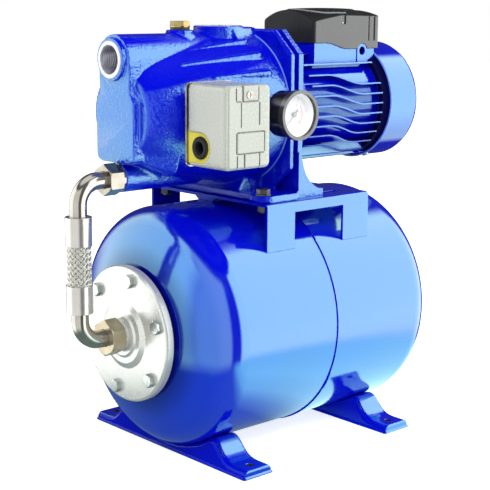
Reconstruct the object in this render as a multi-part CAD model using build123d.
from build123d import *
import math
import os

# Water pressure set: a jet pump and its motor stand on a platform welded to a lying
# pressure tank, with a hose, a pressure switch and a gauge.
# Millimetres. +X runs from the hose end (front) to the motor fan end (rear), -Y is the
# side with the switch and the gauge, +Z is up and z = 0 is the floor. The script works
# with x = 0 midway between the feet; save() moves every piece so that the origin is the
# bottom centre of the whole assembly's box.

os.makedirs("parts", exist_ok=True)

# ---------------------------------------------------------------- driving dimensions
# tank
SEAM_X = 5.6             # weld seam
TANK_R = 135.0           # outer radius
TANK_Z = 144.6           # axis height
TANK_HALF = 133.0        # half length of the straight cylinder
KNUCKLE_R = 32.0         # dome knuckle radius
CROWN_R = 270.0          # dome crown radius
TANK_T = 2.2             # shell thickness
TANK_CUT_R = TANK_R + 0.02   # clearance cut for sheet parts that sit on the tank
NECK_R = 75.2            # mouth ring radius
NECK_FACE = -180.2       # mouth ring face
NECK_DEPTH = 12.8        # mouth ring thickness
NECK_BORE_R = 48.0
VALVE_BORE_R = 5.3
FLANGE_FACE = -189.7     # outer face of the tank flange
FLANGE_R = NECK_R
FLANGE_T = 3.0
FLANGE_BOLT_R = 62.5     # bolt circle
FLANGE_BOLT_A0 = 42.0    # first bolt angle
FLANGE_BOLTS = 6
# feet and platform
FOOT_X = 112.0
FOOT_HALF_Y = 135.4
FOOT_HALF_X = 21.6
FOOT_HOLE_Y = 120.5
FOOT_HOLE_R = 4.2
PAD_Z = 9.5              # top of the foot pads
SHEET = 2.5              # foot sheet thickness
PLAT_X0, PLAT_X1 = -71.3, 87.6
PLAT_Y = 101.0           # half width
PLAT_Z = 286.8           # top
PLAT_T = 3.0
PLAT_LEG = 41.3          # leg width
PLAT_WIN_Z = 275.1       # top of the side windows
# pump
SHAFT_Z = 383.0          # pump and motor axis
PORT_Z = 441.2           # suction port axis
PORT_FACE = -204.4
PORT_BORE = 15.15        # G1 thread, minor radius
PLATE_FACE = -198.4      # front plate of the pump body
SUCTION_R = 26.0         # suction tube outer radius
OUT_Z = 316.0            # lower outlet axis
OUT_R = 15.0
BODY_BACK = -18.4        # rear face of the pump body flange
BODY_FLANGE_T = 6.0
BODY_BOLT_YZ = 66.0      # body bolts, off the shaft in both Y and Z
DISCH_X = -55.4          # discharge port
DISCH_TOP = 474.5
PLUG_X = -109.4          # priming plug
DRAIN_X, DRAIN_Z = -128.0, 344.0
GASKET_T = 1.0
SPIGOT_X = BODY_BACK + GASKET_T  # front face of the bracket spigot
# motor
BRK_X0, BRK_X1 = -12.4, -5.9     # bracket flange
BRK_FOOT_X1 = 26.2               # rear end of the bracket foot
HOUSE_X0, HOUSE_X1 = 26.0, 147.0
HOUSE_RI, HOUSE_RO, FIN_R = 52.0, 57.0, 67.5
CORE_X0, CORE_X1 = 48.0, 128.0   # stator and rotor stacks
SEAL_BACK = -10.4
FRONT_BEARING_X0, FRONT_BEARING_X1 = 10.0, 22.0
REAR_BEARING_X0, REAR_BEARING_X1 = 141.0, 152.0
FAN_X0, FAN_X1, FAN_R = 157.8, 209.8, 69.9   # fan cover
COVER_SCREW_X = 165.0
BOX_Y = 43.0             # terminal box half width
# hose
HOSE_X = -246.5          # hose axis
FERRULE_R = 14.3         # also the object's lowest x
FERRULE_END_T = 2.5
TUBE_OD_R = 9.35         # elbow tube radii
TUBE_ID_R = 7.2
BEND_R = 24.0
UPPER_Z0, UPPER_Z1 = 250.0, 280.6    # upper ferrule
LOWER_Z0, LOWER_Z1 = 178.0, 208.0    # lower ferrule
# pressure switch and gauge
SW_X0, SW_X1 = -160.6, -98.2     # switch cover
SW_Z0, SW_Z1 = 334.0, 419.4
SW_FACE, SW_BACK = -133.0, -72.0
SW_BASE_T = 2.0
SW_BASE_FRONT = SW_BACK - SW_BASE_T
SW_PORT_X, SW_PORT_Z = -129.0, 376.0
SW_SEAT_Y = -71.2                # flat seat on the pump body
GAUGE_X, GAUGE_Z = -47.4, 383.6
GAUGE_FACE, GAUGE_BACK = -125.5, -97.0
# M8 bolts
BOLT_AF = 13.0           # across flats
BOLT_SHANK_R = 3.95
BOLT_HEAD_H = 5.3

CENTRED = (Align.CENTER, Align.CENTER, Align.CENTER)
FROM_BASE = (Align.CENTER, Align.CENTER, Align.MIN)

# rise of the dome crown arc at its tangent point with the knuckle, and its angle
crown_rise = math.sqrt((CROWN_R - KNUCKLE_R) ** 2 - (TANK_R - KNUCKLE_R) ** 2)
KNUCKLE_END = math.atan2(TANK_R - KNUCKLE_R, crown_rise)
CROWN_CENTRE = TANK_HALF - crown_rise            # measured from the seam
POLE_X = SEAM_X + CROWN_CENTRE + CROWN_R         # rear pole of the tank
VALVE_LEN = 17.5                                 # air valve with its cap, the highest x
ORIGIN_X = ((HOSE_X - FERRULE_R) + (POLE_X + VALVE_LEN)) / 2


# ---------------------------------------------------------------- helpers
def cyl_x(radius, x0, x1, z, y=0.0):
    return Pos(x0, y, z) * Rot(0, 90, 0) * Cylinder(radius, x1 - x0, align=FROM_BASE)


def cyl_y(radius, y0, y1, x, z):
    return Pos(x, y0, z) * Rot(-90, 0, 0) * Cylinder(radius, y1 - y0, align=FROM_BASE)


def cyl_z(radius, z0, z1, x, y=0.0):
    return Pos(x, y, z0) * Cylinder(radius, z1 - z0, align=FROM_BASE)


def tube_x(outer_r, inner_r, x0, x1, z):
    return cyl_x(outer_r, x0, x1, z) - cyl_x(inner_r, x0 - 1, x1 + 1, z)


def box(x0, x1, y0, y1, z0, z1):
    centre = Pos((x0 + x1) / 2, (y0 + y1) / 2, (z0 + z1) / 2)
    return centre * Box(x1 - x0, y1 - y0, z1 - z0, align=CENTRED)


def revolve_x(edges, z, y=0.0):
    """Closed edges turned about the X direction through (y, z)."""
    return revolve(make_face(edges), axis=Axis((0, y, z), (1, 0, 0)), revolution_arc=360)


def turned_x(points, z, y=0.0):
    """Turned piece about the X direction, from (x, radius) points."""
    return revolve_x(Polyline(*[(x, y, z + r) for x, r in points], close=True), z, y)


def prism_x(points, x0, x1):
    """Prism along X from (y, z) points."""
    face = make_face(Polyline(*[(x0, y, z) for y, z in points], close=True))
    return extrude(face, amount=x1 - x0, dir=(1, 0, 0))


def prism_y(points, y0, y1):
    """Prism along Y from (x, z) points."""
    face = make_face(Polyline(*[(x, y0, z) for x, z in points], close=True))
    return extrude(face, amount=y1 - y0, dir=(0, 1, 0))


def prism_z(points, z0, z1):
    """Prism along Z from (x, y) points."""
    face = make_face(Polyline(*[(x, y, z0) for x, y in points], close=True))
    return extrude(face, amount=z1 - z0, dir=(0, 0, 1))


def hexagon(across_flats, centre_a, centre_b, turn=0.0):
    radius = across_flats / 2 / math.cos(math.pi / 6)
    angles = [math.radians(turn + 60 * k) for k in range(6)]
    return [(centre_a + radius * math.cos(a), centre_b + radius * math.sin(a)) for a in angles]


def about_shaft(shape, angle):
    """Turns a shape drawn round the X axis by an angle and lifts it to the shaft."""
    return shape.rotate(Axis.X, angle).moved(Location((0, 0, SHAFT_Z)))


def bore_x(shape, radius, x0, x1, places):
    """Cuts holes along X at (y, z) places."""
    for y, z in places:
        shape = shape - cyl_x(radius, x0, x1, z, y)
    return shape


def bore_z(shape, radius, z0, z1, places):
    """Cuts holes along Z at (x, y) places."""
    for x, y in places:
        shape = shape - cyl_z(radius, z0, z1, x, y)
    return shape


def joined(shapes):
    first, *rest = shapes
    for shape in rest:
        first = first + shape
    return first


def fillet_try(shape, edges, radius):
    """Rounds edges; where the kernel fails or breaks the solid, they stay sharp."""
    try:
        out = fillet(edges, radius)
        if out.is_valid and len(out.solids()) == len(shape.solids()):
            return out
    except Exception:
        pass
    return shape


def save(name, *shapes):
    shift = Location((-ORIGIN_X, 0, 0))
    solids = [solid.moved(shift) for shape in shapes for solid in shape.solids()]
    result = solids[0] if len(solids) == 1 else Compound(children=solids)
    export_step(result, "parts/" + name + ".step")


# ================================================================ pressure tank
def crown_u(radius, inset=0.0):
    """Distance of the crown from the seam at a radius."""
    return CROWN_CENTRE + math.sqrt((CROWN_R - inset) ** 2 - radius * radius)


def tank_point(side, u, radius):
    """Point at distance u from the seam; side is -1 for the front, 1 for the rear."""
    return (SEAM_X + side * u, 0, TANK_Z + radius)


def dome_edges(side, inset, end_r):
    """Half shell outline from the seam to radius end_r, inset from the outside."""
    def knuckle_point(angle):
        radius = KNUCKLE_R - inset
        return tank_point(side, TANK_HALF + radius * math.cos(angle),
                          TANK_R - KNUCKLE_R + radius * math.sin(angle))

    def crown_point(radius):
        return tank_point(side, crown_u(radius, inset), radius)

    wall_end = tank_point(side, TANK_HALF, TANK_R - inset)
    knuckle_end = knuckle_point(KNUCKLE_END)
    end_radius = TANK_R - KNUCKLE_R + (KNUCKLE_R - inset) * math.sin(KNUCKLE_END)
    return [
        Line(tank_point(side, 0.0, TANK_R - inset), wall_end),
        ThreePointArc(wall_end, knuckle_point((KNUCKLE_END + math.pi / 2) / 2), knuckle_end),
        ThreePointArc(knuckle_end, crown_point((end_radius + end_r) / 2), crown_point(end_r)),
    ]


def half_shell(side, outer_end_r, inner_end_r, closing_points):
    """Turned half shell; closing_points (u, radius) lead from outside to inside."""
    points = [tank_point(side, u, r) for u, r in closing_points]
    closing = [Line(a, b) for a, b in zip(points, points[1:])]
    seam = Line(tank_point(side, 0, TANK_R - TANK_T), tank_point(side, 0, TANK_R))
    edges = dome_edges(side, 0.0, outer_end_r) + closing \
        + dome_edges(side, TANK_T, inner_end_r) + [seam]
    return revolve_x(edges, TANK_Z)


bolt_angles = [math.radians(FLANGE_BOLT_A0 + 360 / FLANGE_BOLTS * k) for k in range(FLANGE_BOLTS)]
FLANGE_BOLT_YZ = [(FLANGE_BOLT_R * math.cos(a), TANK_Z + FLANGE_BOLT_R * math.sin(a))
                  for a in bolt_angles]


def make_tank_front_shell():
    """Front half shell with the thick mouth ring."""
    ring_face = SEAM_X - NECK_FACE
    ring_in = ring_face - NECK_DEPTH
    ring_in_r = math.sqrt((CROWN_R - TANK_T) ** 2 - (ring_in - CROWN_CENTRE) ** 2)
    shell = half_shell(-1, NECK_R, ring_in_r, [
        (crown_u(NECK_R), NECK_R), (ring_face, NECK_R), (ring_face, NECK_BORE_R),
        (ring_in, NECK_BORE_R), (ring_in, ring_in_r)])
    return bore_x(shell, 4.05, NECK_FACE - 1, NECK_FACE + 20, FLANGE_BOLT_YZ)


def make_tank_rear_shell():
    """Rear half shell with the air valve hole and the weld bead of the seam."""
    shell = half_shell(1, VALVE_BORE_R, VALVE_BORE_R, [
        (crown_u(VALVE_BORE_R), VALVE_BORE_R), (crown_u(VALVE_BORE_R, TANK_T), VALVE_BORE_R)])
    bead = turned_x([(SEAM_X, TANK_R - 0.3), (SEAM_X, TANK_R + 1.3),
                     (SEAM_X + 1.6, TANK_R + 1.1), (SEAM_X + 3.0, TANK_R - 0.3)], TANK_Z)
    return shell + bead


def make_tank_flange():
    """Pressed disc with a rolled rim and two raised steps round the outlet."""
    face = FLANGE_FACE
    flange = turned_x([
        (face - 5.0, 17.6), (face - 5.0, 23.0), (face - 3.0, 25.5), (face - 3.0, 32.0),
        (face, 38.0), (face, FLANGE_R - 2.4), (face + 0.8, FLANGE_R - 0.8),
        (face + 2.6, FLANGE_R), (NECK_FACE, FLANGE_R), (NECK_FACE, FLANGE_R - 3.0),
        (face + FLANGE_T, FLANGE_R - 3.0), (face + FLANGE_T, 39.5), (face, 33.5),
        (face, 24.5), (face - 2.0, 21.5), (face - 2.0, 17.6)], TANK_Z)
    return bore_x(flange, 4.3, face - 2, face + 6, FLANGE_BOLT_YZ)


def make_tank_nipple():
    """Outlet stub in the flange; it reaches the collar of the lower elbow."""
    face = FLANGE_FACE
    return turned_x([(-207.0, 12.5), (-207.0, 16.4), (-200.0, 16.4), (-199.0, 17.5),
                     (face - 2.0, 17.5), (face - 2.0, 21.3), (face + 4.0, 21.3),
                     (face + 4.0, 12.5)], TANK_Z)


def bag_outline(half_length, radius, mouth_r):
    """(x, radius) points of a half ellipse from the mouth to its rear end."""
    centre_x = -5
    steps = 24
    start = math.asin(mouth_r / radius)
    angles = [start + (math.pi - start) * i / steps for i in range(steps + 1)]
    return [(centre_x - half_length * math.cos(a), radius * math.sin(a)) for a in angles]


def make_bladder():
    """Rubber bladder: thick lip clamped behind the flange, bag inside the tank."""
    mouth_ro, mouth_ri = 47.0, 43.0
    lip_r = FLANGE_R - 3.1
    lip = turned_x([
        (FLANGE_FACE + FLANGE_T, 34.0), (FLANGE_FACE + FLANGE_T, lip_r), (NECK_FACE, lip_r),
        (NECK_FACE, mouth_ro), (NECK_FACE + 16, mouth_ro), (NECK_FACE + 16, 34.0)], TANK_Z)
    lip = lip - turned_x([(FLANGE_FACE, 0.01), (FLANGE_FACE, mouth_ri),
                          (NECK_FACE + 17, mouth_ri), (NECK_FACE + 17, 0.01)], TANK_Z)
    lip = bore_x(lip, 4.4, FLANGE_FACE - 2, NECK_FACE + 3, FLANGE_BOLT_YZ)
    outside = bag_outline(146.0, 112.0, mouth_ro)
    inside = bag_outline(143.5, 109.5, mouth_ri)
    neck_x = NECK_FACE + 15
    outer_z, inner_z = TANK_Z + mouth_ro, TANK_Z + mouth_ri
    bag = revolve_x([
        Spline(*[(x, 0, TANK_Z + r) for x, r in outside]),
        Line((outside[-1][0], 0, TANK_Z), (inside[-1][0], 0, TANK_Z)),
        Spline(*[(x, 0, TANK_Z + r) for x, r in inside]),
        Line((inside[0][0], 0, inner_z), (neck_x, 0, inner_z)),
        Line((neck_x, 0, inner_z), (neck_x, 0, outer_z)),
        Line((neck_x, 0, outer_z), (outside[0][0], 0, outer_z)),
    ], TANK_Z)
    return lip + bag


def make_flange_bolt(y, z):
    """Hexagon bolt with a chamfered head."""
    face = FLANGE_FACE
    chamfer = turned_x([(face - 5.4, 0.01), (face - 5.4, 6.3), (face - 4.4, 7.6),
                        (face + 0.1, 7.6), (face + 0.1, 0.01)], z, y)
    head = prism_x(hexagon(BOLT_AF, y, z, 15.0), face - BOLT_HEAD_H, face) & chamfer
    return head + cyl_x(BOLT_SHANK_R, face - 0.5, NECK_FACE + 14, z, y)


# shoulder of a foot between saddle and pad, (y, z) after the saddle edge
FOOT_SHOULDER = [(78.0, 31.6), (84.5, 29.0), (92.0, 21.0), (99.5, 13.4), (107.0, 10.2),
                 (114.0, PAD_Z)]


def foot_prism(inset):
    """Foot profile in Y-Z, inset by the sheet thickness for the hollow, along X."""
    saddle_r = TANK_R + 0.05 + inset
    saddle_y = 72.0
    saddle_z = TANK_Z - math.sqrt(saddle_r * saddle_r - saddle_y * saddle_y)
    end = 134.0 - inset
    pad_y, pad_z = FOOT_SHOULDER[-1][0], PAD_Z - inset
    floor = 0 if inset == 0 else -1
    shoulder = [(saddle_y, saddle_z)] + [(y, z - inset) for y, z in FOOT_SHOULDER]
    face = make_face([
        Spline(*[(0, y, z) for y, z in shoulder]),
        Line((0, pad_y, pad_z), (0, end, pad_z)),
        Line((0, end, pad_z), (0, end, floor)),
        Line((0, end, floor), (0, -end, floor)),
        Line((0, -end, floor), (0, -end, pad_z)),
        Line((0, -end, pad_z), (0, -pad_y, pad_z)),
        Spline(*[(0, -y, z) for y, z in shoulder]),
        ThreePointArc((0, -saddle_y, saddle_z), (0, 0, TANK_Z - saddle_r),
                      (0, saddle_y, saddle_z)),
    ])
    return extrude(face, amount=60, dir=(1, 0, 0)).moved(Location((-30, 0, 0)))


def foot_wedge(inset, floor):
    """Tapered block that narrows the foot from the floor to the crest."""
    low = FOOT_HALF_X - 1.4 - inset
    high = 17.0 - inset
    return prism_y([(-low, floor), (-high, 36), (high, 36), (low, floor)], -150, 150)


def make_foot(centre_x):
    """Drawn channel with a saddle for the tank and a rim on the floor."""
    outside = foot_prism(0.0) & foot_wedge(0.0, 0)
    hollow = foot_prism(SHEET) & foot_wedge(SHEET, -1)
    rim = box(-FOOT_HALF_X, FOOT_HALF_X, -FOOT_HALF_Y, FOOT_HALF_Y, 0, 1.8)
    rim = fillet_try(rim, rim.edges().filter_by(Axis.Z), 3.0)
    foot = (outside + rim) - hollow
    foot = foot - cyl_x(TANK_CUT_R, -40, 40, TANK_Z)
    foot = bore_z(foot, FOOT_HOLE_R, -1, 20, [(0, -FOOT_HOLE_Y), (0, FOOT_HOLE_Y)])
    return foot.moved(Location((centre_x, 0, 0)))


# (x, y) of the pump foot bolts: two through the pump body, two through the motor bracket
BODY_FOOT_BOLTS = [(-62.0, -84.0), (-62.0, 84.0)]
BRACKET_FOOT_BOLTS = [(13.0, -66.0), (13.0, 66.0)]
FOOT_BOLT_HOLE_R = 4.5


def make_pump_platform():
    """Folded plate with four legs standing on the tank."""
    plate = box(PLAT_X0, PLAT_X1, -PLAT_Y, PLAT_Y, 220, PLAT_Z)
    plate = fillet_try(plate, plate.edges().filter_by(Axis.X).group_by(Axis.Z)[-1], 4.0)
    inner_y = PLAT_Y - PLAT_T
    plate = plate - box(PLAT_X0 - 1, PLAT_X1 + 1, -inner_y, inner_y, 200, PLAT_Z - PLAT_T)
    plate = plate - box(PLAT_X0 + PLAT_LEG, PLAT_X1 - PLAT_LEG, -PLAT_Y - 1, PLAT_Y + 1,
                        200, PLAT_WIN_Z)
    tab = [(-20, PLAT_Z - 1), (-7, PLAT_Z - 9), (12, PLAT_Z - 9), (23, PLAT_Z - 1)]
    plate = plate + prism_x(tab, PLAT_X0, PLAT_X0 + PLAT_T)
    plate = plate - cyl_x(TANK_CUT_R, PLAT_X0 - 5, PLAT_X1 + 5, TANK_Z)
    plate = bore_z(plate, FOOT_BOLT_HOLE_R, 270, 300, BODY_FOOT_BOLTS + BRACKET_FOOT_BOLTS)
    # slots behind the rear bolts
    for slot_y in (-74, 74):
        plate = plate - box(34, 62, slot_y - 4, slot_y + 4, 270, 300)
    return plate


def make_air_valve():
    x = POLE_X
    return turned_x([
        (x - 6, 2.2), (x - 6, 5.2), (x + 0.02, 5.2), (x + 0.02, 9.0), (x + 3.5, 9.0),
        (x + 3.5, 5.2), (x + 15, 5.2), (x + 15, 2.6), (x + 4, 2.6), (x + 4, 1.3),
        (x + 2, 1.3), (x + 2, 2.2)], TANK_Z)


def make_air_valve_pin():
    x = POLE_X
    pin = cyl_x(1.2, x - 4, x + 13.5, TANK_Z) + cyl_x(1.9, x - 5.5, x - 0.2, TANK_Z)
    return pin + cyl_x(2.3, x + 11.5, x + 13.5, TANK_Z)


def make_air_valve_cap():
    x = POLE_X
    end = x + VALVE_LEN
    return turned_x([(x + 3.7, 5.3), (x + 3.7, 7.2), (x + 16.5, 6.6), (end, 5.8),
                     (end, 0.0), (x + 16.2, 0.0), (x + 16.2, 5.3)], TANK_Z)


save("tank_front_shell", make_tank_front_shell())
save("tank_rear_shell", make_tank_rear_shell())
save("front_foot", make_foot(-FOOT_X))
save("rear_foot", make_foot(FOOT_X))
save("pump_platform", make_pump_platform())
save("tank_flange", make_tank_flange())
save("tank_nipple", make_tank_nipple())
save("bladder", make_bladder())
save("flange_bolts", *[make_flange_bolt(y, z) for y, z in FLANGE_BOLT_YZ])
save("air_valve", make_air_valve())
save("air_valve_pin", make_air_valve_pin())
save("air_valve_cap", make_air_valve_cap())

# ================================================================ hose between pump and tank
TAIL_R, TAIL_BORE_R = 8.0, 6.4   # straight tail of an elbow inside its ferrule


def swept_tube(axis_z, up):
    """Outside and bore of a bent tube; up is +1 when the vertical leg points down."""
    start_z = axis_z - up * 60.0
    bend_z = axis_z - up * BEND_R
    half = math.radians(45)
    path = Wire([
        Line((HOSE_X, 0, start_z), (HOSE_X, 0, bend_z)),
        ThreePointArc((HOSE_X, 0, bend_z),
                      (HOSE_X + BEND_R - BEND_R * math.cos(half), 0,
                       bend_z + up * BEND_R * math.sin(half)),
                      (HOSE_X + BEND_R, 0, axis_z)),
        Line((HOSE_X + BEND_R, 0, axis_z), (-200.0, 0, axis_z)),
    ])
    start = Plane(origin=(HOSE_X, 0, start_z), z_dir=(0, 0, up))
    return [sweep(start * Circle(radius), path=path) for radius in (TUBE_OD_R, TUBE_ID_R)]


def make_elbow(axis_z, up, collar_x1, collar_r, keep_z, tail_z, tail_bore_z):
    """Elbow with a collar for the union nut; the last three are z ranges."""
    outside, bore = swept_tube(axis_z, up)
    outside = outside & box(-300, collar_x1, -20, 20, *keep_z)
    tail = cyl_z(TAIL_R, *tail_z, HOSE_X)
    collar_x0 = collar_x1 - 4.0
    collar = turned_x([(collar_x0, 0.01), (collar_x0, collar_r), (collar_x1, collar_r),
                       (collar_x1, 0.01)], axis_z)
    elbow = (outside + tail + collar) - bore - cyl_z(TAIL_BORE_R, *tail_bore_z, HOSE_X)
    return elbow - cyl_x(TUBE_ID_R, collar_x0 - 2, collar_x1 + 1, axis_z)


def make_ferrule(z0, z1, hollow_z0, hollow_z1):
    """Cup round the hose end, open on the side of the hose."""
    cup = cyl_z(FERRULE_R, z0, z1, HOSE_X) - cyl_z(12.8, hollow_z0, hollow_z1, HOSE_X)
    return cup - cyl_z(TAIL_R + 0.05, 0, 400, HOSE_X)


def make_hose_layer(outer_r, inner_r, inset):
    """Hose layer that starts inset inside both ferrules."""
    layer = cyl_z(outer_r, LOWER_Z0 + inset, UPPER_Z1 - inset, HOSE_X)
    return layer - cyl_z(inner_r, 0, 400, HOSE_X)


def make_union_nut(axis_z, across_flats, x0, x1, face_r, corner_r, chamfer, bore_r, bore_x0):
    """Nut with a bore for the tube at the outer end and the nipple at the inner end."""
    envelope = turned_x([
        (x0 - 0.1, 0.01), (x0 - 0.1, face_r), (x0 + chamfer, corner_r),
        (x1 - chamfer, corner_r), (x1 + 0.1, face_r), (x1 + 0.1, 0.01)], axis_z)
    nut = prism_x(hexagon(across_flats, 0, axis_z, 30.0), x0, x1) & envelope
    return nut - cyl_x(9.6, -220, -190, axis_z) - cyl_x(bore_r, bore_x0, -190, axis_z)


def make_outlet_nipple():
    """Stub of the pump outlet."""
    return turned_x([(-208.0, 8.0), (-208.0, 12.6), (-196.5, 12.6), (-196.5, 13.6),
                     (-193.2, 13.6), (-193.2, 9.9), (-176.0, 9.9), (-176.0, 8.0)], OUT_Z)


save("upper_elbow", make_elbow(
    OUT_Z, 1, collar_x1=-208.0, collar_r=12.6, keep_z=(UPPER_Z1, 340),
    tail_z=(UPPER_Z0 + 3, UPPER_Z1 + 0.5), tail_bore_z=(UPPER_Z0, UPPER_Z1 + 1)))
save("lower_elbow", make_elbow(
    TANK_Z, -1, collar_x1=-209.0, collar_r=15.2, keep_z=(100, LOWER_Z0),
    tail_z=(LOWER_Z0 - 0.5, LOWER_Z1 - 3), tail_bore_z=(LOWER_Z0 - 1, LOWER_Z1)))
save("upper_ferrule", make_ferrule(UPPER_Z0, UPPER_Z1, UPPER_Z0 - 1, UPPER_Z1 - FERRULE_END_T))
save("lower_ferrule", make_ferrule(LOWER_Z0, LOWER_Z1, LOWER_Z0 + FERRULE_END_T, LOWER_Z1 + 1))
save("hose_braid", make_hose_layer(12.75, 11.5, inset=6))
save("hose_liner", make_hose_layer(11.45, 8.1, inset=5))
save("upper_union_nut", make_union_nut(
    OUT_Z, across_flats=30.0, x0=-214.4, x1=-197.0, face_r=15.4, corner_r=17.4,
    chamfer=1.2, bore_r=12.8, bore_x0=-212.1))
lower_nut = make_union_nut(
    TANK_Z, across_flats=35.4, x0=-216.4, x1=-199.2, face_r=18.2, corner_r=20.3,
    chamfer=1.3, bore_r=16.5, bore_x0=-213.1)
save("lower_union_nut", lower_nut - cyl_x(17.6, -200.1, -190, TANK_Z))
save("outlet_nipple", make_outlet_nipple())

# ================================================================ pump body
# bowl outline, (x, radius)
BOWL = [(-187.0, 48.0), (-178.0, 55.0), (-163.0, 60.5), (-132.0, 68.5), (-100.0, 75.3),
        (-62.0, 81.8), (-24.0, 85.6)]
# flange outline shared with the motor bracket, (y, z)
OCTAGON = [(-58, 295.0), (58, 295.0), (86, 321.0), (86, 445.0),
           (58, 471.0), (-58, 471.0), (-86, 445.0), (-86, 321.0)]
# front plate: narrow head round the port, wide lower part, (y, z)
HEAD_Y, LOW_Y = 25.4, 31.5
FRONT_PLATE = [
    (-LOW_Y, 342.0), (-LOW_Y + 2.4, 336.4), (-LOW_Y + 8.0, 334.0), (LOW_Y - 8.0, 334.0),
    (LOW_Y - 2.4, 336.4), (LOW_Y, 342.0), (LOW_Y, 397.0), (HEAD_Y, 406.0),
    (HEAD_Y, PORT_Z), (-HEAD_Y, PORT_Z), (-HEAD_Y, 406.0), (-LOW_Y, 397.0)]
BODY_FOOT_TOP = 295.0
BODY_BOLTS = [(side * BODY_BOLT_YZ, SHAFT_Z + level * BODY_BOLT_YZ)
              for side in (-1, 1) for level in (-1, 1)]


def bowl_solid(inset, x0, x1):
    """Bowl with its radius reduced by inset, kept between x0 and x1."""
    points = [(x, 0, SHAFT_Z + r - inset) for x, r in BOWL]
    front, back = points[0], points[-1]
    front_axis, back_axis = (front[0], 0, SHAFT_Z), (back[0], 0, SHAFT_Z)
    bowl = revolve_x([Spline(*points), Line(back, back_axis), Line(back_axis, front_axis),
                      Line(front_axis, front)], SHAFT_Z)
    return bowl & box(x0, x1, -120, 120, 250, 520)


def body_outside():
    body = bowl_solid(0.0, -190, -20) + prism_x(FRONT_PLATE, PLATE_FACE, -184.0)
    # suction tube and its stepped port
    body = body + cyl_x(SUCTION_R, PLATE_FACE, -24.0, PORT_Z)
    body = body + cyl_x(22.6, PORT_FACE + 1.0, PLATE_FACE + 2, PORT_Z) \
        + cyl_x(19.6, PORT_FACE, PLATE_FACE, PORT_Z)
    body = body + cyl_x(OUT_R, -193.2, -90.0, OUT_Z)
    body = body + prism_x(OCTAGON, BODY_BACK - BODY_FLANGE_T, BODY_BACK)
    # saddle between the suction tube and the bowl
    body = body + prism_x([(-25.0, 439.0), (25.0, 439.0), (30.0, 400.0), (-30.0, 400.0)],
                          -189.0, -23.0)
    # discharge and priming bosses
    body = body + cyl_z(27.0, 440.0, DISCH_TOP, DISCH_X) + cyl_z(15.0, 440.0, 470.5, PLUG_X)
    # flat seat behind the switch, then the switch, gauge and drain bosses
    body = body - box(-166.0, -93.0, -110.0, SW_SEAT_Y, 326.0, 427.0)
    body = body + cyl_y(14.0, SW_SEAT_Y, -40.0, SW_PORT_X, SW_PORT_Z)
    body = body + cyl_y(11.0, -88.5, -50.0, GAUGE_X, GAUGE_Z)
    body = body + cyl_y(11.5, 45.0, 67.0, DRAIN_X, DRAIN_Z)
    # foot with a rib up to the bowl
    foot = box(-71.0, BODY_BACK - 2.0, -97.0, 97.0, PLAT_Z, BODY_FOOT_TOP)
    foot = fillet_try(foot, foot.edges().filter_by(Axis.Z).group_by(Axis.X)[0], 14.0)
    foot = foot + prism_y([(-60.0, 294.0), (-24.2, 294.0), (-24.2, 330.0), (-40.0, 320.0)],
                          -40, 40)
    return body + foot


def make_pump_body():
    body = body_outside()
    # main chamber and suction chamber, with a bulkhead between them
    chamber = bowl_solid(6.0, -146.0, -20) + cyl_x(79.5, -30, BODY_BACK + 1, SHAFT_Z)
    body = body - chamber - bowl_solid(6.5, -177.0, -152.0)
    body = body - cyl_x(14.15, -153, -145, SHAFT_Z)              # seat of the ejector
    body = body - cyl_x(PORT_BORE, PORT_FACE - 1, -178.0, PORT_Z) \
        - cyl_x(13.0, -179.0, -156.0, PORT_Z)                    # suction port
    body = body + cyl_z(20.0, 452.0, 470.0, DISCH_X)             # inner collar of the discharge
    body = body - cyl_z(PORT_BORE, 445.0, DISCH_TOP + 1, DISCH_X)
    body = body - cyl_z(8.3, 440.0, 480.0, PLUG_X)               # filling hole
    body = body - cyl_x(10.0, -194.0, -118.0, OUT_Z)
    body = body - cyl_y(6.6, -75.0, -50.0, SW_PORT_X, SW_PORT_Z)
    body = body - cyl_y(6.6, -95.0, -60.0, GAUGE_X, GAUGE_Z)
    body = body - cyl_y(6.1, 40.0, 70.0, DRAIN_X, DRAIN_Z)
    body = bore_x(body, 4.05, -40, -10, BODY_BOLTS)
    return bore_z(body, FOOT_BOLT_HOLE_R, 280, 300, BODY_FOOT_BOLTS)


def make_ejector():
    """Venturi tube with its nozzle in front, held by three bars."""
    venturi = turned_x([(-154.5, 6.0), (-154.5, 14.1), (-142.0, 14.1), (-100.0, 12.0),
                        (-64.0, 14.6), (-62.2, 14.6), (-62.2, 10.8), (-146.0, 5.5)], SHAFT_Z)
    nozzle = turned_x([(-176.5, 9.0), (-176.5, 13.0), (-170.0, 13.0), (-158.0, 5.0),
                       (-158.0, 3.2), (-171.0, 9.0)], SHAFT_Z)
    bars = joined(about_shaft(box(-176.5, -150.0, -1.6, 1.6, 9.6, 13.9), 30 + 120 * k)
                  for k in range(3))
    return venturi + nozzle + bars


def make_diffuser():
    """Cup round the impeller with seven ribs outside its rear rim."""
    diffuser = turned_x([
        (-62.0, 11.5), (-62.0, 15.8), (-50.0, 15.8), (-50.0, 66.0), (-24.0, 66.0),
        (-24.0, 61.0), (-46.5, 61.0), (-46.5, 19.5), (-44.0, 19.5), (-44.0, 16.0),
        (-48.0, 11.5)], SHAFT_Z)
    for k in range(7):
        rib = box(-26.0, -20.0, -1.5, 1.5, 61.5, 75.0)
        diffuser = diffuser + about_shaft(rib, 360 / 7 * k + 12)
    return diffuser & box(-100, BODY_BACK, -100, 100, 200, 600)


save("pump_body", make_pump_body())
save("body_gasket", tube_x(84.0, 79.6, BODY_BACK, SPIGOT_X, SHAFT_Z))
save("ejector", make_ejector())
save("diffuser", make_diffuser())

# ================================================================ motor bracket
BRACKET_FOOT_TOP = 294.8
BRACKET_Y = 88.0         # half width of the foot


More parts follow.
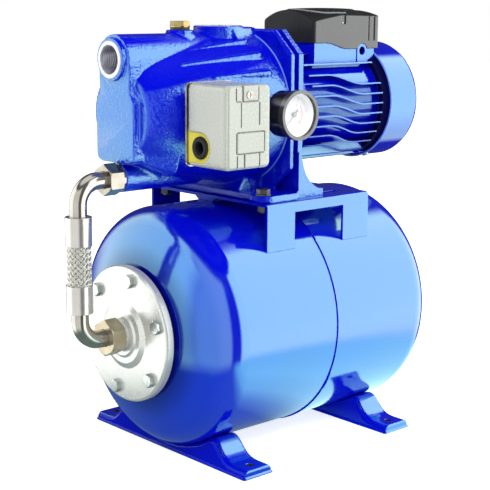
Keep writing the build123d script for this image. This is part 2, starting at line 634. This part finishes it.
def gusset(y0, y1):
    """Curved gusset between flange and foot."""
    top, low, high = BRACKET_FOOT_TOP, 290.0, 338.0
    curve = [(BRK_FOOT_X1, top), (16.0, 297.0), (8.3, 302.0), (-1.5, 314.0), (-6.0, 326.0),
             (-9.0, high)]
    face = make_face([
        Line((BRK_X0, y0, low), (BRK_FOOT_X1, y0, low)),
        Line((BRK_FOOT_X1, y0, low), (BRK_FOOT_X1, y0, top)),
        Spline(*[(x, y0, z) for x, z in curve]),
        Line((-9.0, y0, high), (BRK_X0, y0, high)),
        Line((BRK_X0, y0, high), (BRK_X0, y0, low)),
    ])
    return extrude(face, amount=y1 - y0, dir=(0, 1, 0))


def make_motor_bracket():
    spigot = cyl_x(82.5, SPIGOT_X, BRK_X0, SHAFT_Z)
    flange = prism_x(OCTAGON, BRK_X0, BRK_X1)
    foot = box(-14.7, BRK_FOOT_X1, -BRACKET_Y, BRACKET_Y, PLAT_Z, BRACKET_FOOT_TOP)
    # the flange runs down to the foot
    skirt = prism_x([(-80, 292.0), (80, 292.0), (86, 330.0), (-86, 330.0)], BRK_X0, BRK_X1)
    hub = cyl_x(26.0, BRK_X1 - 1, 23.0, SHAFT_Z)
    hub_bores = [cyl_x(14.02, SPIGOT_X - 1, SEAL_BACK, SHAFT_Z),      # seal seat
                 cyl_x(9.6, SPIGOT_X - 1, 30, SHAFT_Z),               # shaft
                 cyl_x(20.02, FRONT_BEARING_X0, 30, SHAFT_Z)]         # front bearing

    bracket = spigot + flange + foot + skirt
    bracket = bracket + gusset(-BRACKET_Y, -78.0) + gusset(78.0, BRACKET_Y)
    # drum between flange and housing
    bracket = bracket + (cyl_x(60.0, BRK_X1 - 1, HOUSE_X0, SHAFT_Z)
                         - cyl_x(50.0, BRK_X1 + 1, HOUSE_X0 + 1, SHAFT_Z))
    bracket = bracket + hub
    bracket = bracket + cyl_x(52.0, 4.0, 10.0, SHAFT_Z)
    # lip that centres the housing
    bracket = bracket + tube_x(51.9, 47.5, HOUSE_X0 - 1, HOUSE_X0 + 4.0, SHAFT_Z)
    for bore in hub_bores:
        bracket = bracket - bore
        hub = hub - bore
    bracket = bore_x(bracket, 4.3, -30, 0, BODY_BOLTS)
    bracket = bore_x(bracket, 8.2, BRK_X1, 8.0, BODY_BOLTS)
    bracket = bore_z(bracket, FOOT_BOLT_HOLE_R, 280, 300, BRACKET_FOOT_BOLTS)
    # hollow the drum in front of its web, then put the hub back
    return bracket - cyl_x(50.0, BRK_X1 + 1, 3.9, SHAFT_Z) + hub


def make_body_bolt(y, z):
    head = prism_x(hexagon(BOLT_AF, y, z), BRK_X1, BRK_X1 + BOLT_HEAD_H)
    return head + cyl_x(BOLT_SHANK_R, -23.5, BRK_X1 + 0.5, z, y)


def make_foot_bolt(x, y, top):
    """Bolt with a washer on the surface at height top, and its nut under the platform."""
    washer_t = 1.6
    head = prism_z(hexagon(BOLT_AF, x, y, 20.0), top + washer_t, top + washer_t + BOLT_HEAD_H)
    bolt = head + cyl_z(8.4, top, top + washer_t, x, y)
    bolt = bolt + cyl_z(BOLT_SHANK_R, 275.5, top + 1, x, y)
    nut_top = PLAT_Z - PLAT_T
    nut = prism_z(hexagon(BOLT_AF, x, y), nut_top - 6.5, nut_top) - cyl_z(4.0, 260, 300, x, y)
    return [bolt, nut]


save("motor_bracket", make_motor_bracket())
save("pump_body_bolts", *[make_body_bolt(y, z) for y, z in BODY_BOLTS])
foot_bolts = []
for bolt_places, surface_z in ((BODY_FOOT_BOLTS, BODY_FOOT_TOP),
                               (BRACKET_FOOT_BOLTS, BRACKET_FOOT_TOP)):
    for x, y in bolt_places:
        foot_bolts += make_foot_bolt(x, y, surface_z)
save("pump_foot_bolts", *foot_bolts)

# ================================================================ rotating set
# motor shaft outline, (x, radius)
SHAFT = [(-53.0, 0.0), (-53.0, 4.0), (-44.0, 4.0), (-44.0, 6.0), (-24.0, 6.0), (-24.0, 7.0),
         (8.0, 7.0), (8.0, 8.5), (22.5, 8.5), (22.5, 10.0), (138.0, 10.0), (138.0, 7.5),
         (156.0, 7.5), (156.0, 6.5), (181.0, 6.5), (181.0, 0.0)]


def impeller_vane(start_angle):
    """Spiral vane that sweeps 55 degrees from the eye to the rim."""
    inner_r, outer_r, half_t, steps = 17.0, 57.5, 1.2, 8
    leading, trailing = [], []
    for j in range(steps + 1):
        r = inner_r + (outer_r - inner_r) * j / steps
        angle = math.radians(start_angle + 55.0 * (j / steps))
        for side, points in ((1, leading), (-1, trailing)):
            a = angle + side * half_t / r
            points.append((r * math.cos(a), SHAFT_Z + r * math.sin(a)))
    return prism_x(leading + trailing[::-1], -38.2, -27.4)


def make_impeller():
    """Hub with back disc, front shroud and six vanes."""
    hub = turned_x([(-44.0, 6.0), (-44.0, 10.5), (-30.0, 13.0), (-28.0, 58.0), (-25.5, 58.0),
                    (-25.5, 11.0), (-24.0, 11.0), (-24.0, 6.0)], SHAFT_Z)
    shroud = turned_x([(-40.5, 18.0), (-40.5, 20.5), (-38.0, 58.0), (-36.2, 58.0),
                       (-38.6, 18.0)], SHAFT_Z)
    return hub + shroud + joined(impeller_vane(60 * k) for k in range(6))


def make_bearing(x0, x1, outer_r, inner_r, groove_ri, groove_ro):
    """Bearing ring with a shallow groove in each face."""
    depth = 0.8
    grooves = tube_x(groove_ro, groove_ri, x0 - 1, x0 + depth, SHAFT_Z) \
        + tube_x(groove_ro, groove_ri, x1 - depth, x1 + 1, SHAFT_Z)
    return tube_x(outer_r, inner_r, x0, x1, SHAFT_Z) - grooves


def make_winding(x0, x1):
    winding = tube_x(48.0, 31.5, x0, x1, SHAFT_Z)
    return fillet_try(winding, winding.edges().filter_by(GeomType.CIRCLE), 3.0)


def make_cooling_fan():
    fan = cyl_x(12.0, 160.0, 178.0, SHAFT_Z) + cyl_x(56.0, 160.0, 162.0, SHAFT_Z)
    for k in range(8):
        fan = fan + about_shaft(box(161.0, 180.0, -1.1, 1.1, 11.0, 57.0), 45 * k)
    return fan - cyl_x(6.5, 150, 190, SHAFT_Z)


save("motor_shaft", turned_x(SHAFT, SHAFT_Z))
save("impeller", make_impeller())
save("impeller_nut", prism_x(hexagon(13.0, 0, SHAFT_Z), -50.5, -44.0)
     - cyl_x(4.0, -52, -43, SHAFT_Z))
save("seal_head", turned_x([(-24.0, 7.0), (-24.0, 11.5), (-20.0, 12.5), (-17.46, 12.5),
                            (-17.46, 7.0)], SHAFT_Z))
save("seal_seat", tube_x(14.0, 7.6, SPIGOT_X, SEAL_BACK, SHAFT_Z))
save("front_bearing", make_bearing(FRONT_BEARING_X0, FRONT_BEARING_X1, 20.0, 8.55, 11.5, 17.0))
save("rear_bearing", make_bearing(REAR_BEARING_X0, REAR_BEARING_X1, 17.5, 7.55, 10.5, 14.6))
save("rotor_core", tube_x(29.6, 10.0, CORE_X0, CORE_X1, SHAFT_Z))
save("stator_core", tube_x(HOUSE_RI, 30.1, CORE_X0, CORE_X1, SHAFT_Z))
save("stator_windings", make_winding(33.0, CORE_X0), make_winding(CORE_X1, 140.0))
save("cooling_fan", make_cooling_fan())

# ================================================================ motor housing
FIN_X0 = HOUSE_X0 + 6.0
FIN_PITCH = 11.6
FIN_T = 1.6
# terminal box base
BASE_X0, BASE_X1, BASE_Z0 = 55.6, 156.6, 428.5
CABLE_X, CABLE_Z = 135.1, 444.0
# joint of base and cover, stepping down towards the rear, (x, z)
JOINT_Z0, JOINT_Z1 = 454.2, 446.6
JOINT = [(74.0, JOINT_Z0), (82.0, 453.4), (92.0, 450.6), (102.0, 447.6), (110.0, JOINT_Z1)]


def fin_offset(x):
    """Smooth drop of a wavy fin along the motor."""
    t = (x - 62.0) / (116.0 - 62.0)
    t = max(0.0, min(1.0, t))
    return -12.0 * (t * t * (3 - 2 * t))


def side_fin(k):
    """Fin number k across the motor; the top pair runs straight."""
    z = SHAFT_Z + 1.0 + FIN_PITCH * k
    stations = [FIN_X0 + (HOUSE_X1 - FIN_X0) * i / 24 for i in range(25)]
    line = [(x, z if k >= 4 else z + fin_offset(x)) for x in stations]
    upper = [(x, fin_z + FIN_T / 2) for x, fin_z in line]
    lower = [(x, fin_z - FIN_T / 2) for x, fin_z in reversed(line)]
    return prism_y(upper + lower, -70, 70)


def make_motor_housing():
    ring = cyl_x(FIN_R, FIN_X0, HOUSE_X1, SHAFT_Z) \
        - cyl_x(HOUSE_RO - 1.0, HOUSE_X0, HOUSE_X1 + 1, SHAFT_Z)
    fins = joined(side_fin(k) for k in range(-4, 6)) & ring
    # straight upright fins under the motor
    low_fins = joined(box(FIN_X0, HOUSE_X1, y - 1.2, y + 1.2, SHAFT_Z - 70, SHAFT_Z - 45)
                      for y in [k * 11.0 for k in range(-3, 4)]) & ring
    housing = cyl_x(HOUSE_RO, HOUSE_X0, HOUSE_X1, SHAFT_Z) + fins + low_fins
    # terminal box base on a web
    outline = [(BASE_X0, BASE_Z0), (BASE_X1, BASE_Z0), (BASE_X1, JOINT_Z1)] + JOINT[::-1] \
        + [(BASE_X0, JOINT_Z0)]
    base = prism_y(outline, -BOX_Y + 1.6, BOX_Y - 1.6)
    web = box(BASE_X0, HOUSE_X1, -38.0, 38.0, SHAFT_Z + 40.0, BASE_Z0 + 2)
    housing = housing + base + web
    # raised arch round the cable hole
    arch_r, arch_y0, arch_y1 = 8.4, -BOX_Y + 0.6, -BOX_Y + 4.6
    housing = housing + cyl_y(arch_r, arch_y0, arch_y1, CABLE_X, CABLE_Z) \
        + box(CABLE_X - arch_r, CABLE_X + arch_r, arch_y0, arch_y1, BASE_Z0, CABLE_Z)
    # hollow of the base, stator bore, cable hole and a hole in the floor of the base
    housing = housing - box(BASE_X0 + 3, BASE_X1 - 3, arch_y1, -arch_y1, 441.0, 470)
    housing = housing - cyl_x(HOUSE_RI, HOUSE_X0 - 1, HOUSE_X1 + 1, SHAFT_Z)
    housing = housing - cyl_y(5.0, -BOX_Y - 2, -BOX_Y + 8, CABLE_X, CABLE_Z)
    return housing - cyl_z(7.0, 425, 445, 100.0, 20.0)


def crown_prism(half_y, side_top, crown, x0, x1):
    """Prism with a crowned top; crown lists (y, z) of its right half down to y = 0."""
    mirrored = [(-y, z) for y, z in crown[::-1] if y > 0]
    return prism_x([(-half_y, 400.0), (half_y, 400.0), (half_y, side_top)] + crown + mirrored
                   + [(-half_y, side_top)], x0, x1)


def make_terminal_box_cover():
    """Hollow cover with a crowned top."""
    wall = 2.2
    x0, x1 = 53.6, 163.6
    inner_x0, inner_x1, inner_y = x0 + wall, x1 - wall, BOX_Y - wall
    cover = prism_y([(x0, JOINT_Z0)] + JOINT + [(x1, JOINT_Z1), (x1, 500), (x0, 500)],
                    -BOX_Y, BOX_Y)
    cover = cover & crown_prism(
        BOX_Y + 1, 478.8, [(34, 484.0), (20, 488.6), (0, 490.4)], 50, 170)
    hollow = crown_prism(
        inner_y, 477.4, [(33, 481.2), (20, 485.4), (0, 487.4)], inner_x0, inner_x1)
    cover = cover - (hollow & box(50, 170, -50, 50, 456.4, 500))
    cover = cover - box(inner_x0, inner_x1, -inner_y, inner_y, 440, 460)
    cover = fillet_try(cover, cover.edges().filter_by(Axis.Z), 3.0)
    cover = cover - cyl_y(8.6, -BOX_Y - 1, -BOX_Y + 4.5, CABLE_X, CABLE_Z)
    return cover - cyl_x(71.6, 157.6, 170.0, SHAFT_Z)      # room over the fan cover


def make_capacitor():
    """Can with two terminals at its rear end."""
    can = cyl_x(16.0, 64.0, 128.0, 457.0, -14)
    return can + box(127.5, 134.0, -20.0, -16.0, 455.0, 459.0) \
        + box(127.5, 134.0, -12.0, -8.0, 455.0, 459.0)


# fan cover screws, angle from +Y towards +Z: two on the far side, one underneath
SCREW_ANGLES = (35.0, 325.0, 250.0)


def radial_pin(radius, r0, r1, angle):
    """Pin pointing outwards from the shaft axis at a cover screw."""
    return about_shaft(cyl_z(radius, r0, r1, COVER_SCREW_X), angle - 90)


def make_rear_end_shield():
    shield = cyl_x(60.0, HOUSE_X1, HOUSE_X1 + 5, SHAFT_Z) + cyl_x(24.0, 139.5, 154.0, SHAFT_Z)
    shield = shield + (cyl_x(51.9, 142.0, HOUSE_X1 + 1, SHAFT_Z)
                       - cyl_x(48.5, 141, HOUSE_X1, SHAFT_Z))
    for angle in SCREW_ANGLES:
        lug = box(HOUSE_X1 + 2, 171.0, 58.5, 68.3, -6.0, 6.0)
        lug_web = box(HOUSE_X1 + 0.5, HOUSE_X1 + 5, 50.0, 68.3, -6.0, 6.0)
        shield = shield + about_shaft(lug, angle) + about_shaft(lug_web, angle)
    shield = shield & cyl_x(68.25, 140, 172, SHAFT_Z)      # rounds the lugs
    shield = shield - cyl_x(17.52, REAR_BEARING_X0, REAR_BEARING_X1, SHAFT_Z) \
        - cyl_x(9.0, 130, 160, SHAFT_Z)
    shield = shield - box(146.5, 175.0, -50.0, 50.0, BASE_Z0 - 0.3, 470.0)
    for angle in SCREW_ANGLES:
        shield = shield - radial_pin(2.05, 55, 75, angle)
    return shield


def make_fan_cover():
    """Cup with a slotted rear face."""
    x1 = FAN_X1
    cover = turned_x([
        (FAN_X0, 68.4), (FAN_X0, FAN_R), (x1 - 7.0, FAN_R), (x1 - 2.4, FAN_R - 2.0),
        (x1 - 0.4, FAN_R - 5.5), (x1, FAN_R - 9.0), (x1, 0.0), (x1 - 1.6, 0.0),
        (x1 - 1.6, FAN_R - 10.0), (x1 - 4.2, FAN_R - 3.4), (x1 - 8.0, 68.4)], SHAFT_Z)
    slots = 20
    for k in range(slots):
        slot = box(x1 - 4, x1 + 2, -2.2, 2.2, 20.0, 54.0)
        cover = cover - about_shaft(slot, 360 / slots * k)
    for angle in SCREW_ANGLES:
        cover = cover - radial_pin(2.3, 60, 75, angle)
    return cover


def make_fan_cover_screw(angle):
    return radial_pin(3.9, FAN_R + 0.05, FAN_R + 2.2, angle) \
        + radial_pin(2.0, 60.0, FAN_R + 0.5, angle)


save("motor_housing", make_motor_housing())
save("terminal_box_cover", make_terminal_box_cover())
save("capacitor", make_capacitor())
save("rear_end_shield", make_rear_end_shield())
save("fan_cover", make_fan_cover())
save("fan_cover_screws", *[make_fan_cover_screw(angle) for angle in SCREW_ANGLES])


# ================================================================ priming plug and drain plug
def make_priming_plug():
    plug = cyl_z(8.2, 456.5, 474.0, PLUG_X) + cyl_z(10.9, 473.5, 475.0, PLUG_X)
    head = prism_z(hexagon(19.0, PLUG_X, 0, 10.0), 474.5, 480.0)
    return plug + (head & cyl_z(10.8, 474, 480.0, PLUG_X))


save("priming_plug", make_priming_plug())
save("priming_plug_gasket", cyl_z(10.6, 470.52, 473.48, PLUG_X) - cyl_z(8.32, 460, 480, PLUG_X))
save("drain_plug", cyl_y(6.0, 52.0, 68.0, DRAIN_X, DRAIN_Z)
     + prism_y(hexagon(17.0, DRAIN_X, DRAIN_Z), 67.0, 73.0))

# ================================================================ pressure switch
BUSH_Y, BUSH_Z, BUSH_R = -94.0, 354.4, 11.6   # conduit bushing
SCREW_X, SCREW_Z = -129.0, 409.4              # cover screw
LEVER_X, LEVER_Y = SW_PORT_X - 18.0, -89.0    # lever pivot


def make_switch_base():
    base = box(SW_X0 - 0.8, SW_X1 + 0.8, SW_BASE_FRONT, SW_BACK, SW_Z0 - 0.8, SW_Z1 + 0.8)
    base = fillet_try(base, base.edges().filter_by(Axis.Y), 6.0)
    root = SW_BACK - 1       # raised features start inside the base plate
    # conduit wall at the front end
    base = base + box(SW_X0 + 2.6, SW_X0 + 4.4, -112.0, root, SW_Z0 + 3.5, 372.0)
    # diaphragm housing and threaded stub, with the bore for the plunger
    port = (SW_PORT_X, SW_PORT_Z)
    base = base + cyl_y(19.0, -84.0, root, *port) + cyl_y(13.6, root, SW_SEAT_Y, *port)
    base = base + cyl_y(6.5, -74.0, -55.0, *port)
    base = base - cyl_y(3.0, -80.0, -50.0, *port) - cyl_y(4.06, -90.0, -76.0, *port)
    # lever posts and the pivot hole
    for post_z in (SW_PORT_Z - 10, SW_PORT_Z + 10):
        base = base + box(LEVER_X - 4.0, LEVER_X + 4.0, -92.0, root, post_z - 1.5, post_z + 1.5)
    base = base - cyl_z(1.55, 350, 400, LEVER_X, LEVER_Y)
    base = base - cyl_x(8.05, SW_X0 - 5, SW_X0 + 8, BUSH_Z, BUSH_Y)
    # post for the cover screw
    return base + cyl_y(3.4, -124.0, root, SCREW_X, SCREW_Z) \
        - cyl_y(1.7, -125.0, -100.0, SCREW_X, SCREW_Z)


def make_switch_cover():
    cover = box(SW_X0, SW_X1, SW_FACE, SW_BASE_FRONT, SW_Z0, SW_Z1)
    cover = fillet_try(cover, cover.edges().filter_by(Axis.Y), 6.5)
    face_edges = cover.edges().filter_by(Axis.Z).group_by(Axis.Y)[0] \
        + cover.edges().filter_by(Axis.X).group_by(Axis.Y)[0]
    cover = fillet_try(cover, face_edges, 3.5)
    wall = 1.5
    hollow = box(SW_X0 + wall, SW_X1 - wall, SW_FACE + wall, SW_BACK, SW_Z0 + wall, SW_Z1 - wall)
    hollow = fillet_try(hollow, hollow.edges().filter_by(Axis.Y), 3.5)
    cover = cover - hollow
    # cut-out of the front end wall round the conduit bushing
    cut_r = 16.0
    cut = box(SW_X0 - 1, SW_X0 + 3.0, BUSH_Y, SW_BACK + 1, BUSH_Z - cut_r, BUSH_Z + cut_r) \
        + cyl_x(cut_r, SW_X0 - 1, SW_X0 + 3.0, BUSH_Z, BUSH_Y)
    cover = cover - cut
    return cover - cyl_y(2.1, SW_FACE - 1, SW_FACE + 3, SCREW_X, SCREW_Z)


def make_switch_screw():
    """Cover screw with a cross slot."""
    screw = cyl_y(4.2, SW_FACE - 2.6, SW_FACE, SCREW_X, SCREW_Z) \
        + cyl_y(1.6, SW_FACE - 1, -104.0, SCREW_X, SCREW_Z)
    for half_x, half_z in ((2.6, 0.45), (0.45, 2.6)):
        screw = screw - box(SCREW_X - half_x, SCREW_X + half_x, SW_FACE - 3.0, SW_FACE - 1.6,
                            SCREW_Z - half_z, SCREW_Z + half_z)
    return screw


def make_switch_bushing():
    """Ring with a flange outside the wall and a sleeve through it."""
    x = SW_X0
    return turned_x([
        (x - 1.2, 7.0), (x - 1.2, 10.2), (x - 0.2, BUSH_R), (x + 2.55, BUSH_R),
        (x + 2.55, 8.0), (x + 7.0, 8.0), (x + 7.0, 6.4), (x + 0.2, 6.4)], BUSH_Z, BUSH_Y)


def make_switch_card():
    """Thin sheet inside the conduit wall, cut out round the bushing."""
    card = box(SW_X0 + 1.75, SW_X0 + 2.3, -114.0, SW_BASE_FRONT - 0.1, SW_Z0 + 3.9, 374.0)
    return card - cyl_x(BUSH_R + 0.15, SW_X0, SW_X0 + 9, BUSH_Z, BUSH_Y)


def make_switch_lever():
    """Plate with a square recess over the plunger, and its pivot pin."""
    x, z = SW_PORT_X, SW_PORT_Z
    lever = box(x - 20.0, x + 20.0, -91.5, -88.2, z - 7.0, z + 7.0)
    lever = lever - box(x - 3, x + 3, -95, -88.9, z - 3, z + 3)
    return lever + cyl_z(1.5, z - 12.5, z + 12.5, LEVER_X, LEVER_Y)


save("switch_base", make_switch_base())
save("switch_cover", make_switch_cover())
save("switch_screw", make_switch_screw())
save("switch_bushing", make_switch_bushing())
save("switch_card", make_switch_card())
save("switch_plunger", cyl_y(4.0, -86.0, -78.0, SW_PORT_X, SW_PORT_Z)
     + cyl_y(6.0, -87.5, -86.0, SW_PORT_X, SW_PORT_Z))
save("switch_lever", make_switch_lever())

# ================================================================ pressure gauge
CASE_R = 24.9
DIAL_BACK = -107.0


def gauge_disc(radius, y0, y1):
    """Cylinder on the gauge axis."""
    return cyl_y(radius, y0, y1, GAUGE_X, GAUGE_Z)


def make_gauge_case():
    case = gauge_disc(CASE_R, GAUGE_FACE + 5.5, GAUGE_BACK) \
        - gauge_disc(23.3, GAUGE_FACE + 5, GAUGE_BACK - 1.6)
    # threaded stub with its hexagon
    case = case + gauge_disc(6.5, GAUGE_BACK - 1, -72.0) \
        + prism_y(hexagon(14.0, GAUGE_X, GAUGE_Z), -96.5, -88.6)
    case = case + gauge_disc(18.0, DIAL_BACK, GAUGE_BACK - 1.0)     # movement block
    return case - gauge_disc(2.0, -90.0, -60.0) - gauge_disc(1.3, -108.0, -100.0)


def make_gauge_bezel():
    return gauge_disc(26.6, GAUGE_FACE, GAUGE_FACE + 7.0) \
        - gauge_disc(CASE_R + 0.05, GAUGE_FACE + 2.4, GAUGE_FACE + 8) \
        - gauge_disc(23.0, GAUGE_FACE - 1, GAUGE_FACE + 3)


def make_gauge_dial():
    """Dished dial, open to the rear, with a bored centre boss."""
    return gauge_disc(23.2, -113.0, DIAL_BACK) - gauge_disc(21.0, -112.0, DIAL_BACK + 0.1) \
        + gauge_disc(4.0, -112.5, DIAL_BACK) - gauge_disc(1.1, -115, -106)


def make_gauge_needle():
    """Needle at zero: it aims down and to the left, seen from -Y."""
    angle = math.radians(225.0)
    along_x, along_z = math.cos(angle), math.sin(angle)
    tip_r, tail_r, tail_half = 18.5, 7, 1.3
    outline = [(GAUGE_X + tip_r * along_x, GAUGE_Z + tip_r * along_z)]
    for side in (-tail_half, tail_half):
        outline.append((GAUGE_X - tail_r * along_x + side * along_z,
                        GAUGE_Z - tail_r * along_z - side * along_x))
    hub = gauge_disc(2.4, -117.0, -114.0) + gauge_disc(1.0, -115.0, -101.0)
    return hub + prism_y(outline, -116.2, -115.4)


save("gauge_case", make_gauge_case())
save("gauge_bezel", make_gauge_bezel())
save("gauge_lens", gauge_disc(CASE_R, GAUGE_FACE + 2.42, GAUGE_FACE + 4.4))
save("gauge_dial", make_gauge_dial())
save("gauge_needle", make_gauge_needle())
